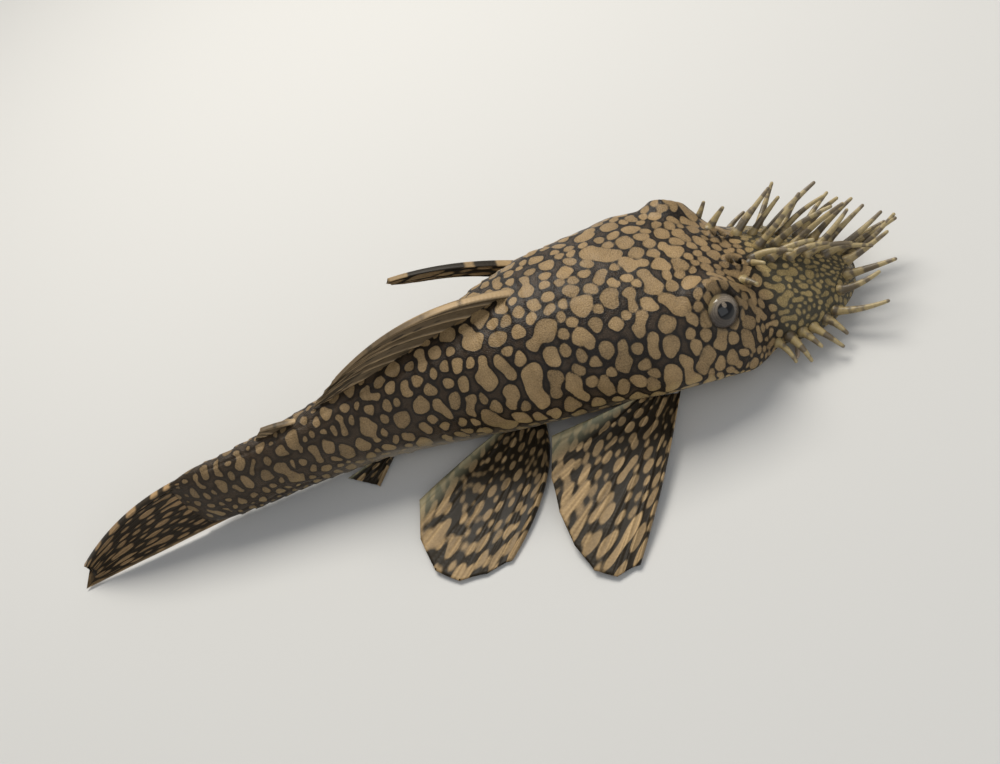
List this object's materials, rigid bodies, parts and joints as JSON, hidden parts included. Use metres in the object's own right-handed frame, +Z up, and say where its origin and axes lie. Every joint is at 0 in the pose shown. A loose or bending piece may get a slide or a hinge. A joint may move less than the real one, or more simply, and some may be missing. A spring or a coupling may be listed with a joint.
{
  "type": "bristlenose pleco",
  "caption": "Life-size still model of a bristlenose pleco resting on its belly, with fleshy snout bristles, a sucker mouth, spread paired fins and a half-closed tail fin.",
  "frame": {"origin": "middle of the flat of the belly, on the plane that the fish rests on", "axes": "+X towards the snout, +Y to the fish's left, +Z up through its back"},
  "size_m": [0.1297, 0.0552, 0.023],
  "materials": {
    "skin": "satin, tan spots on a dark brown net",
    "fin": "satin, banded rays",
    "eye": "wet gloss"
  },
  "bodies": {
    "root": {"head": "skin", "trunk": "skin", "tail": "skin", "dorsal_fin": "fin", "adipose_fin": "fin", "anal_fin": "fin", "caudal_fin": "fin", "pectoral_fin_right": "fin", "pectoral_fin_left": "fin", "pelvic_fin_right": "fin", "pelvic_fin_left": "fin", "eye_right": "eye", "eye_left": "eye"}
  },
  "joints": []
}
